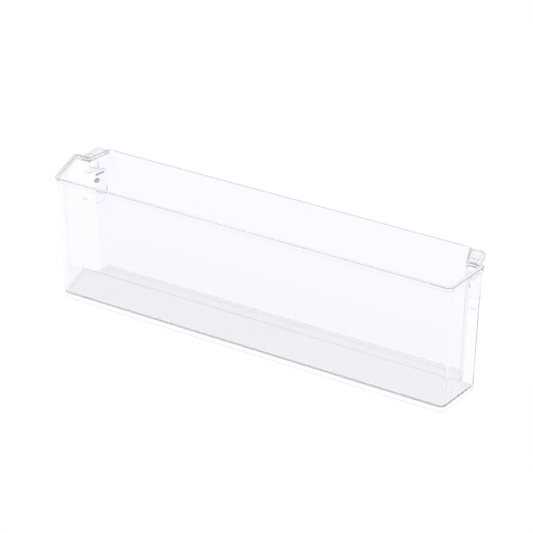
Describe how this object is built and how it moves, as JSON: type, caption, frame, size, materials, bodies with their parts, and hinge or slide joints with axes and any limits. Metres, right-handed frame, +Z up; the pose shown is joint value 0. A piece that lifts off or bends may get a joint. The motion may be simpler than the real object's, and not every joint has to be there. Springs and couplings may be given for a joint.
{
  "type": "refrigerator door bin",
  "caption": "Long, narrow clear tub for a fridge door: flared front ends, stepped-in rear ends with hooks and lug channels, a beaded rim and a raised floor.",
  "frame": {"origin": "centre of the bin's box at the height of its foot edge", "axes": "+Z up, +X along the bin's length to the right as seen from the front, +Y from the front wall towards the refrigerator's door"},
  "size_m": [0.479, 0.084, 0.147],
  "materials": {
    "clear_plastic": "clear moulded polystyrene, polished",
    "rim_plastic": "clear moulded polystyrene, polished bead",
    "grained_floor": "clear moulded polystyrene, finely grained underneath",
    "hook_plastic": "clear moulded polystyrene, finely textured"
  },
  "bodies": {
    "root": {"floor": "grained_floor", "front_wall": "clear_plastic", "back_wall": "clear_plastic", "left_front_corner": "clear_plastic", "right_front_corner": "clear_plastic", "left_front_end": "clear_plastic", "right_front_end": "clear_plastic", "left_step": "clear_plastic", "right_step": "clear_plastic", "left_rear_end": "clear_plastic", "right_rear_end": "clear_plastic", "left_back_corner": "clear_plastic", "right_back_corner": "clear_plastic", "front_rim": "rim_plastic", "left_end_rim": "rim_plastic", "right_end_rim": "rim_plastic", "back_rim": "rim_plastic", "left_hook": "hook_plastic", "right_hook": "hook_plastic", "left_lug_seat": "hook_plastic", "right_lug_seat": "hook_plastic", "left_lug_guide": "hook_plastic", "right_lug_guide": "hook_plastic", "left_seat_web": "hook_plastic", "right_seat_web": "hook_plastic", "left_lock_bar": "hook_plastic", "right_lock_bar": "hook_plastic", "left_lock_pip": "hook_plastic", "right_lock_pip": "hook_plastic", "left_lug_pad": "hook_plastic", "right_lug_pad": "hook_plastic", "left_step_ledge": "hook_plastic", "right_step_ledge": "hook_plastic"}
  },
  "joints": []
}
